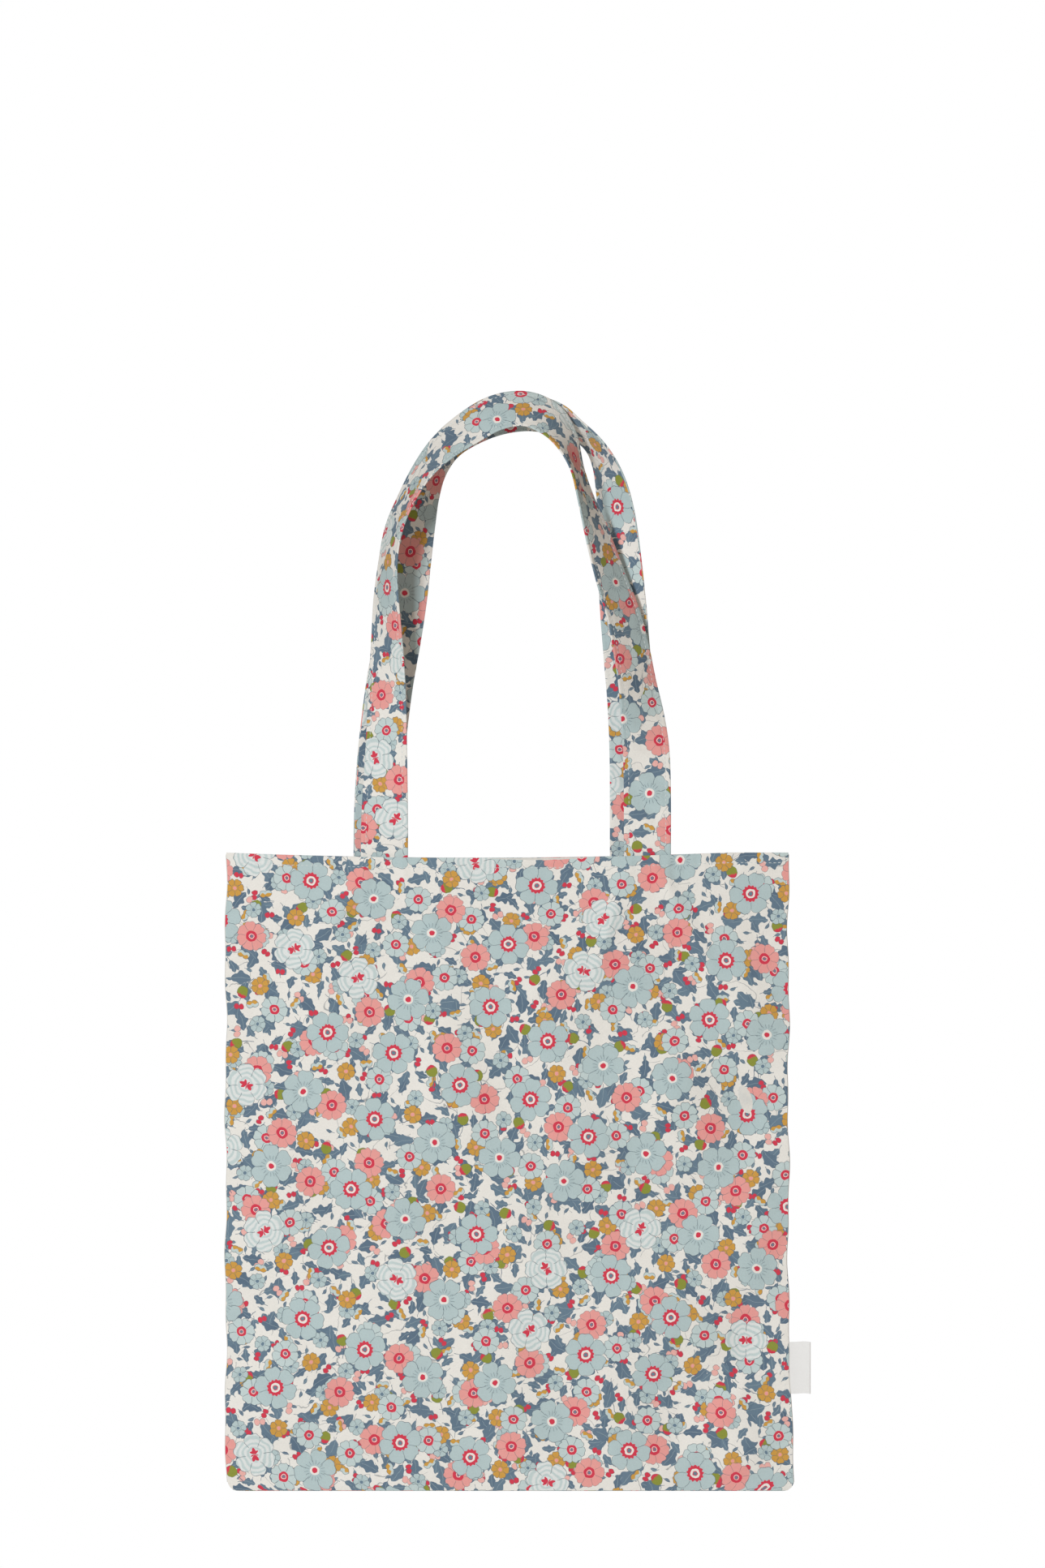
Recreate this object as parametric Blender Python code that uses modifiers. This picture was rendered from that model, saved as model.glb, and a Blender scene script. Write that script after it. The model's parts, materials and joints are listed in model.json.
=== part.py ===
"""Foldable cotton tote bag with two shoulder straps, hanging flat from its straps.

Metres, +Z up. The front faces -Y. The origin is the middle of the bottom seam's underside.
Run it with: blender --background --python part.py
"""

import bpy
from math import cos, radians, sin
from mathutils import Vector

# Driving dimensions of the bag, in metres.
WIDTH = 0.370
HEIGHT = 0.420
CLOTH = 0.0008
GAP = 0.0003                 # clearance that touching pieces keep
HALF = WIDTH / 2
EDGE = 0.0015                # half the distance between the panels at the side seams
BODY_BULGE = 0.0041          # how far each panel stands out at the middle of the bag
MOUTH_BULGE = 0.0065         # the same at the open top
BOTTOM_RISE = 0.060          # height over which the bulge grows from the bottom seam
COLUMNS = 18                 # cells across a panel

# Fold lines, leaving a gap between the rigid leaves on either side.
FOLD_UPPER = 0.260
FOLD_LOWER = 0.130
MOUTH_LINE = 0.290
LEAF_GAP = 0.0015
BOTTOM_SEAM_HEIGHT = 0.008
PANEL_START = 0.0006

# Hem, straps and label.
HEM = 0.038
HEM_HALF = 0.165
FACING = 0.0005
STITCH_DROP = 0.0065
THREAD = 0.0003
TAIL = 0.0006
TAIL_LENGTH = 0.035
STRAP_WIDTH = 0.031
STRAP_THICK = 0.0012
STRAP_STITCH_INSET = 0.0035
SEAM_ALLOWANCE = 0.010
SEAM_THICK = 0.0015
LABEL_BOTTOM = 0.064
LABEL_TOP = 0.098
LABEL_START = 0.1876
LABEL_END = 0.1995
LABEL_THICK = 0.0010

# Strap centrelines: x, z and distance in front of the bag's middle plane, in millimetres, then how far
# the ribbon is turned about its own line, in degrees. At 0 it lies flat with the bag; as it turns, the
# edge towards the inside of the loop swings outwards.
FRONT_ROUTE = (
    (-80.5, 421.5, 5.4, 0), (-80.2, 450, 5.8, 12), (-79.4, 485, 6.5, 28), (-78.8, 520, 7.2, 36),
    (-78.8, 555, 8.2, 46), (-79.3, 585, 10.0, 56), (-78.0, 610, 12.0, 66), (-74.0, 632, 12.6, 68),
    (-65.5, 652, 13.6, 68), (-55.0, 670, 13.8, 62), (-42.0, 685, 13.0, 51), (-25.0, 698, 12.0, 41),
    (-7.0, 708, 11.5, 39), (12.0, 710.5, 11.5, 40), (28.0, 703.5, 12.2, 43), (38.5, 690, 12.4, 58),
    (45.5, 672, 12.0, 72), (51.5, 652, 12.0, 69), (59.5, 627, 12.0, 59), (68.0, 600, 10.5, 51),
    (76.5, 575, 9.0, 44), (82.0, 550, 7.8, 38), (85.5, 530, 7.3, 34), (89.0, 508, 6.8, 22),
    (91.3, 484, 6.3, 8), (92.0, 455, 5.8, 2), (92.0, 421.5, 5.4, 0),
)
BACK_ROUTE = (
    (-85.5, 421.5, 5.4, 0), (-85.0, 450, 5.8, 2), (-83.2, 480, 6.3, 5), (-80.6, 505, 6.8, 6),
    (-77.0, 532, 7.4, 6), (-72.0, 560, 8.2, 8), (-67.8, 587, 9.6, 12), (-64.6, 612, 11.4, 20),
    (-61.0, 637, 12.6, 28), (-56.5, 656, 13.8, 40), (-49.5, 673, 14.0, 50), (-39.0, 688, 13.0, 50),
    (-24.0, 699, 11.5, 44), (-6.0, 706.5, 11.5, 41), (13.0, 709, 11.5, 42), (31.0, 705.5, 12.6, 50),
    (45.0, 698, 12.6, 66), (56.0, 688.5, 11.8, 68), (63.5, 676, 12.0, 60), (68.6, 660, 12.0, 48),
    (71.8, 641, 12.0, 38), (73.8, 618, 11.4, 29), (75.2, 596, 10.2, 18), (77.0, 572, 9.0, 6),
    (79.2, 545, 7.8, 2), (81.6, 515, 6.9, 0), (82.8, 484, 6.3, 0), (83.0, 455, 5.8, 0),
    (83.0, 421.5, 5.4, 0),
)
STRAP_STATIONS = 44
RIBBON_COLUMNS = 4
THREAD_LIFT = 0.0004         # extra clearance of the strap stitching where the ribbon twists


def clear_scene():
    for thing in list(bpy.data.objects):
        bpy.data.objects.remove(thing)


def material(name, colour, roughness):
    made = bpy.data.materials.new(name)
    made.use_nodes = True
    shader = made.node_tree.nodes["Principled BSDF"]
    shader.inputs["Base Color"].default_value = (*colour, 1)
    shader.inputs["Roughness"].default_value = roughness
    shader.inputs["Metallic"].default_value = 0
    return made


def bulge(z):
    """How far a panel stands out from its side seams at this height, on the bag's middle line."""
    if z < BOTTOM_RISE:
        return BODY_BULGE * (1 - (1 - z / BOTTOM_RISE) ** 2)
    above = max(0, (z - 0.28) / (HEIGHT - 0.28))
    return BODY_BULGE + (MOUTH_BULGE - BODY_BULGE) * above


def skin(x, z, side, inset=0.0):
    """A point on the front (side -1) or back (side +1) panel's middle surface, moved inwards by inset."""
    return Vector((x, side * (EDGE + bulge(z) * (1 - (x / HALF) ** 2) - inset), z))


def add_object(name, data, finish, collection):
    made = bpy.data.objects.new(name, data)
    made.data.materials.append(finish)
    collection.objects.link(made)
    return made


def grid_mesh(name, rows):
    """An open sheet of quads from rows of points."""
    across = len(rows[0])
    points = [p for row in rows for p in row]
    faces = [
        (r * across + c, r * across + c + 1, (r + 1) * across + c + 1, (r + 1) * across + c)
        for r in range(len(rows) - 1)
        for c in range(across - 1)
    ]
    mesh = bpy.data.meshes.new(name)
    mesh.from_pydata([tuple(p) for p in points], [], faces)
    mesh.update()
    return mesh


def sheet(name, rows, thickness, finish, collection):
    """A cloth piece: an open sheet thickened evenly to both sides."""
    made = add_object(name, grid_mesh(name, rows), finish, collection)
    solid = made.modifiers.new("thickness", "SOLIDIFY")
    solid.thickness = thickness
    solid.offset = 0
    solid.use_even_offset = False
    made.data.shade_smooth()
    return made


def steps(low, high, count):
    return [low + (high - low) * i / count for i in range(count + 1)]


def skin_sheet(name, x_range, z_values, side, inset, thickness, columns, finish, collection):
    rows = []
    for z in z_values:
        row = [skin(x, z, side, inset) for x in steps(*x_range, columns)]
        rows.append(row if side < 0 else row[::-1])
    return sheet(name, rows, thickness, finish, collection)


def thread(name, points, finish, collection):
    """A line of stitching as a thin thread along a route."""
    curve = bpy.data.curves.new(name, "CURVE")
    curve.dimensions = "3D"
    curve.bevel_depth = THREAD
    curve.bevel_resolution = 0
    curve.use_fill_caps = True
    line = curve.splines.new("POLY")
    line.points.add(len(points) - 1)
    for spot, point in zip(line.points, points):
        spot.co = (*point, 1)
    return add_object(name, curve, finish, collection)


def box(name, low, high, finish, collection):
    """A box between two corners, from the primitive cube."""
    low = Vector(low)
    high = Vector(high)
    bpy.ops.mesh.primitive_cube_add(size=1, location=(low + high) / 2)
    made = bpy.context.object
    made.name = name
    made.scale = high - low
    bpy.ops.object.transform_apply(location=False, rotation=False, scale=True)
    for holder in list(made.users_collection):
        holder.objects.unlink(made)
    collection.objects.link(made)
    made.data.materials.append(finish)
    return made


def catmull(before, start, end, after, t):
    """A value between start and end on the smooth curve through four neighbours."""
    return 0.5 * (
        2 * start + (end - before) * t + (2 * before - 5 * start + 4 * end - after) * t ** 2
        + (3 * start - before - 3 * end + after) * t ** 3
    )


def along(route, side, count):
    """Evenly spread stations on a strap's route: (point, turn in radians)."""
    rows = [(x / 1000, side * y / 1000, z / 1000, radians(turn)) for x, z, y, turn in route]
    fine = []
    for i in range(len(rows) - 1):
        four = [rows[max(i - 1, 0)], rows[i], rows[i + 1], rows[min(i + 2, len(rows) - 1)]]
        for k in range(12):
            fine.append([catmull(*(row[n] for row in four), k / 12) for n in range(4)])
    fine.append(list(rows[-1]))
    reached = [0.0]
    for a, b in zip(fine, fine[1:]):
        reached.append(reached[-1] + (Vector(b[:3]) - Vector(a[:3])).length)
    stations = []
    i = 0
    for n in range(count + 1):
        want = reached[-1] * n / count
        while i < len(fine) - 2 and reached[i + 1] < want:
            i += 1
        share = (want - reached[i]) / (reached[i + 1] - reached[i])
        values = [a + (b - a) * share for a, b in zip(fine[i], fine[i + 1])]
        stations.append((Vector(values[:3]), values[3]))
    return stations


def strap_frames(route, side):
    """At each station: centre, the direction across the ribbon to its inner edge, and its outward normal."""
    stations = along(route, side, STRAP_STATIONS)
    frames = []
    for i, (centre, turn) in enumerate(stations):
        ahead = stations[min(i + 1, len(stations) - 1)][0] - stations[max(i - 1, 0)][0]
        inward = Vector((ahead.z, 0, -ahead.x)).normalized()
        if i in (0, len(stations) - 1):
            inward = Vector((1 if centre.x < 0 else -1, 0, 0))
        across = inward * cos(turn) + Vector((0, side, 0)) * sin(turn)
        outward = Vector((0, side, 0)) * cos(turn) - inward * sin(turn)
        frames.append((centre, across, outward))
    return frames


def strap(word, route, side, finish, stitching, collection):
    """One shoulder strap: a twisted ribbon and the stitch line near each of its edges."""
    frames = strap_frames(route, side)
    half = STRAP_WIDTH / 2
    rows = [
        [centre + across * share for share in steps(-half, half, RIBBON_COLUMNS)]
        for centre, across, outward in frames
    ]
    sheet(f"{word}_strap", rows, STRAP_THICK, finish, collection)
    lift = STRAP_THICK / 2 + GAP + THREAD + THREAD_LIFT
    for edge, sign in (("outer", -1), ("inner", 1)):
        reach = sign * (half - STRAP_STITCH_INSET)
        line = [centre + across * reach + outward * lift for centre, across, outward in frames]
        thread(f"{word}_strap_{edge}_stitching", line, stitching, collection)


def panels(finish, collection):
    """The front and back cloth, as leaves that meet at the fold lines and at the mouth's bending line."""
    rise = [PANEL_START, 0.015, 0.035, 0.060, 0.095, FOLD_LOWER - LEAF_GAP]
    middle = steps(FOLD_LOWER + LEAF_GAP, FOLD_UPPER - LEAF_GAP, 3)
    upper = [FOLD_UPPER + LEAF_GAP, 0.28, 0.35, HEIGHT]
    strip = [FOLD_UPPER + LEAF_GAP, MOUTH_LINE - LEAF_GAP]
    mouth = steps(MOUTH_LINE + LEAF_GAP, HEIGHT, 3)
    leaves = (
        ("front_panel_lower", rise, -1), ("back_panel_lower", rise, 1),
        ("front_panel_middle", middle, -1), ("back_panel_middle", middle, 1),
        ("front_panel_upper", upper, -1), ("back_panel_upper", strip, 1),
        ("back_panel_mouth", mouth, 1),
    )
    for name, heights, side in leaves:
        skin_sheet(name, (-HALF, HALF), heights, side, 0, CLOTH, COLUMNS, finish, collection)


def side_seams(finish, collection):
    """The turned-in allowances of both side seams, one length for each folding section."""
    lengths = (
        ("lower", BOTTOM_SEAM_HEIGHT + 0.002, FOLD_LOWER - LEAF_GAP),
        ("middle", FOLD_LOWER + LEAF_GAP, FOLD_UPPER - LEAF_GAP),
        ("upper", FOLD_UPPER + LEAF_GAP, HEIGHT - 0.001),
    )
    for section, low, high in lengths:
        for word, sign in (("left", -1), ("right", 1)):
            ends = sorted((sign * (HALF - 0.0005), sign * (HALF - SEAM_ALLOWANCE)))
            box(
                f"side_seam_{section}_{word}",
                (ends[0], -SEAM_THICK / 2, low),
                (ends[1], SEAM_THICK / 2, high),
                finish,
                collection,
            )


def hem(word, side, centres, finish, facing_finish, stitching, collection):
    """The turned-in hem facing, its topstitching, and the strap ends sewn between facing and panel."""
    inset = CLOTH / 2 + GAP + TAIL + GAP + FACING / 2
    heights = steps(HEIGHT - HEM, HEIGHT - 0.0006, 2)
    skin_sheet(
        f"{word}_hem_facing", (-HEM_HALF, HEM_HALF), heights, side, inset, FACING, COLUMNS,
        facing_finish, collection,
    )
    lift = -(CLOTH / 2 + GAP + THREAD)
    line = [skin(x, HEIGHT - STITCH_DROP, side, lift) for x in steps(-HALF + 0.004, HALF - 0.004, 32)]
    thread(f"{word}_hem_stitching", line, stitching, collection)
    for hand, centre in zip(("left", "right"), centres):
        half = STRAP_WIDTH / 2
        tail = CLOTH / 2 + GAP + TAIL / 2
        skin_sheet(
            f"{word}_strap_end_{hand}", (centre - half, centre + half),
            [HEIGHT - TAIL_LENGTH, HEIGHT - 0.0006], side, tail, TAIL, 4, finish, collection,
        )
        tack = HEIGHT - STITCH_DROP - 0.022
        tack_line = [skin(x, tack, side, lift) for x in steps(centre - half, centre + half, 6)]
        thread(f"{word}_strap_tack_{hand}", tack_line, stitching, collection)


def label(finish, stitching, collection):
    """The folded side label, hinged on the right side seam, and the stitch line that holds it."""
    tag = box(
        "side_label", (LABEL_START, -LABEL_THICK / 2, LABEL_BOTTOM),
        (LABEL_END, LABEL_THICK / 2, LABEL_TOP), finish, collection,
    )
    rounding = tag.modifiers.new("folded_edge", "BEVEL")
    rounding.width = LABEL_THICK * 0.35
    rounding.segments = 2
    height = (LABEL_BOTTOM, LABEL_TOP)
    line = [skin(HALF - 0.003, z, -1, -(CLOTH / 2 + GAP + THREAD)) for z in steps(*height, 4)]
    thread("side_label_stitching", line, stitching, collection)


def main():
    clear_scene()
    collection = bpy.data.collections.new("foldable_tote_bag")
    bpy.context.scene.collection.children.link(collection)
    print_cloth = material("floral_cotton", (0.62, 0.60, 0.58), 0.9)
    plain_cloth = material("seam_cotton", (0.78, 0.75, 0.71), 0.92)
    stitching = material("sewing_thread", (0.85, 0.84, 0.82), 0.75)
    tape = material("woven_label", (0.86, 0.85, 0.83), 0.8)
    panels(print_cloth, collection)
    side_seams(plain_cloth, collection)
    box(
        "bottom_seam",
        (-HALF + 0.001, -SEAM_THICK / 2 + 0.0001, 0),
        (HALF - 0.001, SEAM_THICK / 2 - 0.0001, BOTTOM_SEAM_HEIGHT),
        plain_cloth,
        collection,
    )
    for word, side, route in (("front", -1, FRONT_ROUTE), ("back", 1, BACK_ROUTE)):
        centres = (route[0][0] / 1000, route[-1][0] / 1000)
        hem(word, side, centres, print_cloth, plain_cloth, stitching, collection)
        strap(word, route, side, print_cloth, stitching, collection)
    label(tape, stitching, collection)


main()
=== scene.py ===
"""The looks of the foldable tote bag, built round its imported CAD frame.

Metres, +Z up, the front towards -Y. Every cloth piece carries a UV map, CLOTH_MAP, of its flat
position in decimetres, and the printed pattern, the weave and the bump are all read from it.
"""

import json
import math

import bpy
import numpy as np
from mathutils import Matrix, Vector


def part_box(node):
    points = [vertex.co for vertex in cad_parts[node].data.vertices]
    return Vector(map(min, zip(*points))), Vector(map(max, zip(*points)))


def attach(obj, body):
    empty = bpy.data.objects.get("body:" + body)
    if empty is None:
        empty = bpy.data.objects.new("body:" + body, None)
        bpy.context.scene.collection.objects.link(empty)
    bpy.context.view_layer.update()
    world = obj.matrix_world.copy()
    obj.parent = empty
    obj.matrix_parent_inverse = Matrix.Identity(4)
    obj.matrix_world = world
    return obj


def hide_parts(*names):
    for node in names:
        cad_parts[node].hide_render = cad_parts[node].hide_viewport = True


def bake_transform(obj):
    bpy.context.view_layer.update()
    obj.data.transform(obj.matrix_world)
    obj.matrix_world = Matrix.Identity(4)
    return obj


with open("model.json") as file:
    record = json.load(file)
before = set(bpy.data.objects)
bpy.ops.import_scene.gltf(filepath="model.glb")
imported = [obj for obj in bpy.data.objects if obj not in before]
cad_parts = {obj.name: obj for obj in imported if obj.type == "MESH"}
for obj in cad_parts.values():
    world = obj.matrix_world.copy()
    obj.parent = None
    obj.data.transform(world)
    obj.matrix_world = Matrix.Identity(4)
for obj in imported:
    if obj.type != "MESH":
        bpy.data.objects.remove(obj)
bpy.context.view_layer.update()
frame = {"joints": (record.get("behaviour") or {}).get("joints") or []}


def joint_at(name):
    """Where a CAD joint's axis lies."""
    return Vector(next(j["pos_m"] for j in frame["joints"] if j["name"] == name))


# Sizes and places, from the frame.
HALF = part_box("front_panel_middle")[1].x
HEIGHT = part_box("front_panel_upper")[1].z
UPPER_FOLD = joint_at("upper_fold").z
LOWER_FOLD = joint_at("lower_fold").z
MIDDLE_SPLIT = (UPPER_FOLD + LOWER_FOLD) / 2
MOUTH_LINE = joint_at("mouth_opening").z
STRAP_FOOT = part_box("front_strap")[0].z
HEM_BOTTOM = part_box("front_hem_facing")[0].z
LABEL_LOW, LABEL_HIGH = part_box("side_label")

# How the cloth is made up, in metres.
CLOTH = 0.0005
MOUTH_FROM = HALF
MOUTH_TO = 0.120             # a distance from the bag's middle along the back of the mouth
EDGE = 0.0009                # half the distance between the panels at the side seams
BODY_BULGE = 0.0046
MOUTH_BULGE = 0.0070
CELL = 0.0021                # size of the cloth mesh's quads
CORNER = 0.007               # radius of the bag's bottom corners
TUCK = 0.004                 # the back's upper cloth goes on this far inside the mouth's, to close
TUCK_DEPTH = 0.00065         # off the slit where their edges part as the mouth bends, and this deep
STITCH_DROP = 0.0066
STITCH_PITCH = 0.0031
STITCH_LENGTH = 0.0024
STITCH_RADIUS = 0.00024
STRAP_WIDTH = 0.031
STRAP_THICK = 0.0013
STRAP_SEAM_INSET = 0.0034
STRAP_STATIONS = 260
STRAP_END = 0.384            # the strap ends show through the hem down to here
STRAP_SEWN = 0.388           # and the ribbons run down to here,
STRAP_SEWN_OUT = 0.0048      # this far from the bag's middle plane
STRAP_FLAT = 21              # points across each flat side of a ribbon
FACING_WIDTH = 0.94          # of the bag's width
FACING_CLOTH = 0.0004
FACING_INSET = 0.0019
SEAM_CLOTH = 0.0003
SIDE_ALLOWANCE = 0.009
BOTTOM_ALLOWANCE = 0.008
SAG_FROM = 0.33              # the top edge's sag fades out down to this height
TAPE = 0.00035
ARC_POINTS = 7               # on the bottom edge: round each corner
EDGE_POINTS = 120            # and along the straight, with both its ends
STITCH_RINGS = 5
STITCH_SIDES = 6
BACK_PRINT = 0.7             # where on the printed cloth the pieces are cut, each from its own place
FACING_PRINT = 1.9
STRAP_PRINT = 0.9
STRAP_PRINT_STEP = 0.37
CLOTH_MAP = "cloth"
STRAPS = ("front_ribbon", "back_ribbon")
MAP_UNIT = 0.1

# The straps' routes, as in the CAD source: x, z and distance from the bag's middle plane, in
# millimetres, then the ribbon's turn about its own line in degrees.
FRONT_ROUTE = (
    (-80.5, 421.5, 5.4, 0), (-80.2, 450, 5.8, 12), (-79.4, 485, 6.5, 28), (-78.8, 520, 7.2, 36),
    (-78.8, 555, 8.2, 46), (-79.3, 585, 10.0, 56), (-78.0, 610, 12.0, 66), (-74.0, 632, 12.6, 68),
    (-65.5, 652, 13.6, 68), (-55.0, 670, 13.8, 62), (-42.0, 685, 13.0, 51), (-25.0, 698, 12.0, 41),
    (-7.0, 708, 11.5, 39), (12.0, 710.5, 11.5, 40), (28.0, 703.5, 12.2, 43), (38.5, 690, 12.4, 58),
    (45.5, 672, 12.0, 72), (51.5, 652, 12.0, 69), (59.5, 627, 12.0, 59), (68.0, 600, 10.5, 51),
    (76.5, 575, 9.0, 44), (82.0, 550, 7.8, 38), (85.5, 530, 7.3, 34), (89.0, 508, 6.8, 22),
    (91.3, 484, 6.3, 8), (92.0, 455, 5.8, 2), (92.0, 421.5, 5.4, 0),
)
BACK_ROUTE = (
    (-85.5, 421.5, 5.4, 0), (-85.0, 450, 5.8, 2), (-83.2, 480, 6.3, 5), (-80.6, 505, 6.8, 6),
    (-77.0, 532, 7.4, 6), (-72.0, 560, 8.2, 8), (-67.8, 587, 9.6, 12), (-64.6, 612, 11.4, 20),
    (-61.0, 637, 12.6, 28), (-56.5, 656, 13.8, 40), (-49.5, 673, 14.0, 50), (-39.0, 688, 13.0, 50),
    (-24.0, 699, 11.5, 44), (-6.0, 706.5, 11.5, 41), (13.0, 709, 11.5, 42), (31.0, 705.5, 12.6, 50),
    (45.0, 698, 12.6, 66), (56.0, 688.5, 11.8, 68), (63.5, 676, 12.0, 60), (68.6, 660, 12.0, 48),
    (71.8, 641, 12.0, 38), (73.8, 618, 11.4, 29), (75.2, 596, 10.2, 18), (77.0, 572, 9.0, 6),
    (79.2, 545, 7.8, 2), (81.6, 515, 6.9, 0), (82.8, 484, 6.3, 0), (83.0, 455, 5.8, 0),
    (83.0, 421.5, 5.4, 0),
)


# ---------------------------------------------------------------- shader arithmetic


def srgb(red, green, blue):
    """A colour given as 0 to 255 screen values, as linear light with alpha."""
    return (*(((c / 255 + 0.055) / 1.055) ** 2.4 for c in (red, green, blue)), 1)


class Value:
    """A shader value that plain arithmetic can be written with."""

    def __init__(self, tree, socket):
        self.tree = tree
        self.socket = socket

    def __add__(self, other):
        return sums("ADD", self, other)

    def __sub__(self, other):
        return sums("SUBTRACT", self, other)

    def __rsub__(self, other):
        return sums("SUBTRACT", other, self)

    def __mul__(self, other):
        return sums("MULTIPLY", self, other)

    def __truediv__(self, other):
        return sums("DIVIDE", self, other)


def plug(tree, slot, value):
    if isinstance(value, Value):
        tree.links.new(value.socket, slot)
    else:
        slot.default_value = value


def sums(operation, *values, clamp=False):
    """A Math node."""
    tree = next(v.tree for v in values if isinstance(v, Value))
    made = tree.nodes.new("ShaderNodeMath")
    made.operation = operation
    made.use_clamp = clamp
    for slot, value in zip(made.inputs, values):
        plug(tree, slot, value)
    return Value(tree, made.outputs[0])


def vectors(operation, *values):
    """A Vector Math node."""
    tree = next(v.tree for v in values if isinstance(v, Value))
    made = tree.nodes.new("ShaderNodeVectorMath")
    made.operation = operation
    for slot, value in zip(made.inputs, values):
        plug(tree, slot, value)
    return Value(tree, made.outputs[0])


def scaled(vector, factor):
    made = vector.tree.nodes.new("ShaderNodeVectorMath")
    made.operation = "SCALE"
    plug(vector.tree, made.inputs[0], vector)
    made.inputs["Scale"].default_value = factor
    return Value(vector.tree, made.outputs[0])


def parts(vector):
    """A vector's three numbers."""
    made = vector.tree.nodes.new("ShaderNodeSeparateXYZ")
    plug(vector.tree, made.inputs[0], vector)
    return [Value(vector.tree, out) for out in made.outputs]


def mixed(share, first, second):
    """The colour between two by a share from 0 to 1."""
    tree = next(v.tree for v in (share, first, second) if isinstance(v, Value))
    made = tree.nodes.new("ShaderNodeMix")
    made.data_type = "RGBA"
    for slot, value in zip((made.inputs[0], made.inputs[6], made.inputs[7]), (share, first, second)):
        plug(tree, slot, value)
    return Value(tree, made.outputs[2])


def noise(vector, scale, detail):
    made = vector.tree.nodes.new("ShaderNodeTexNoise")
    plug(vector.tree, made.inputs["Vector"], vector)
    made.inputs["Scale"].default_value = scale
    made.inputs["Detail"].default_value = detail
    return Value(vector.tree, made.outputs["Fac"]), Value(vector.tree, made.outputs["Color"])


def inside(distance, soft=0.16):
    """1 where a distance in millimetres is below 0, with a soft edge."""
    return sums("MULTIPLY_ADD", distance, -1 / soft, 0.5, clamp=True)


def near(distance, width, soft=0.16):
    """1 within width of where a distance is 0."""
    return inside(sums("ABSOLUTE", distance) - width, soft)


# ---------------------------------------------------------------- the printed pattern

INK = srgb(88, 102, 112)
GROUND = srgb(238, 234, 226)
PALE_BLUE = srgb(186, 203, 203)
DEEPER_BLUE = srgb(169, 189, 192)
ROSE_WHITE = srgb(228, 231, 228)
MIST = srgb(199, 213, 211)
SLATE = srgb(110, 132, 148)
DARK_SLATE = srgb(93, 113, 132)
CORAL = srgb(216, 62, 82)
SALMON = srgb(237, 163, 156)
BLUSH = srgb(240, 182, 173)
MUSTARD = srgb(211, 159, 74)
OLIVE = srgb(144, 150, 62)


def scattered(cloth, size, turn, shift, jitter):
    """One motif to a cell of this size in millimetres: its own x and y, turned at random, and two
    random numbers."""
    tree = cloth.tree
    place = tree.nodes.new("ShaderNodeMapping")
    plug(tree, place.inputs["Vector"], cloth)
    place.inputs["Scale"].default_value = (1 / size, 1 / size, 0)
    place.inputs["Rotation"].default_value = (0, 0, turn)
    place.inputs["Location"].default_value = (shift, shift * 1.7, 0)
    spot = Value(tree, place.outputs[0])
    home = vectors("FLOOR", spot)
    chance = tree.nodes.new("ShaderNodeTexWhiteNoise")
    chance.noise_dimensions = "2D"
    plug(tree, chance.inputs["Vector"], home)
    randoms = Value(tree, chance.outputs["Color"])
    local = vectors("SUBTRACT", vectors("SUBTRACT", spot, home), (0.5, 0.5, 0))
    moved = vectors("SUBTRACT", local, scaled(vectors("SUBTRACT", randoms, (0.5, 0.5, 0)), jitter))
    spin = tree.nodes.new("ShaderNodeVectorRotate")
    spin.rotation_type = "Z_AXIS"
    plug(tree, spin.inputs["Vector"], scaled(moved, size))
    lots = parts(randoms)
    plug(tree, spin.inputs["Angle"], lots[2] * (2 * math.pi))
    x, y, _ = parts(Value(tree, spin.outputs[0]))
    return x, y, Value(tree, chance.outputs["Value"]), lots[0]


def reach_of(x, y):
    return sums("SQRT", x * x + y * y)


def present(chance, keep):
    return sums("LESS_THAN", chance, keep)


def print_over(base, mask, colour):
    return mixed(mask, base, colour)


def spokes(angle, reach, count):
    """Distance from evenly spread lines that leave the middle."""
    return sums("PINGPONG", angle + 4 * math.pi, math.pi / count) * reach


def petals(base, here, x, y, radius, count, depth, colour, line=0.8):
    """Notched petals with an outline and a line between each two; also the polar coordinates."""
    reach = reach_of(x, y)
    angle = sums("ARCTAN2", y, x)
    lobe = sums("ABSOLUTE", sums("COSINE", angle * (count / 2)))
    edge = sums("SQRT", lobe) * (depth * radius) - sums("POWER", lobe, 9.0) * (0.07 * radius)
    rim = reach - edge - radius * (1 - depth)
    base = print_over(base, inside(rim) * here, colour)
    between = spokes(angle + math.pi / count, reach, count)
    veins = near(between, 0.16) * inside(radius * 0.4 - reach) * inside(rim)
    base = print_over(base, veins * here * line, INK)
    return print_over(base, near(rim, 0.17) * here * line, INK), reach, angle


def daisy_heart(base, here, reach, angle, radius):
    """A toothed coral heart with a pale ring and a dark dot."""
    teeth = sums("COSINE", angle * 13.0) * (0.08 * radius)
    base = print_over(base, inside(reach - teeth - radius) * here, CORAL)
    base = print_over(base, near(reach - radius * 0.46, radius * 0.13) * here, GROUND)
    return print_over(base, inside(reach - radius * 0.24) * here, SLATE)


def eye(base, here, reach, angle, radius):
    """A coral dot in a pale ring, with short rays round it."""
    rays = near(spokes(angle, reach, 17), 0.12) * near(reach - radius * 1.75, radius * 0.4)
    base = print_over(base, rays * here * 0.8, INK)
    base = print_over(base, inside(reach - radius) * here, GROUND)
    return print_over(base, inside(reach - radius * 0.55) * here, CORAL)


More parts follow.
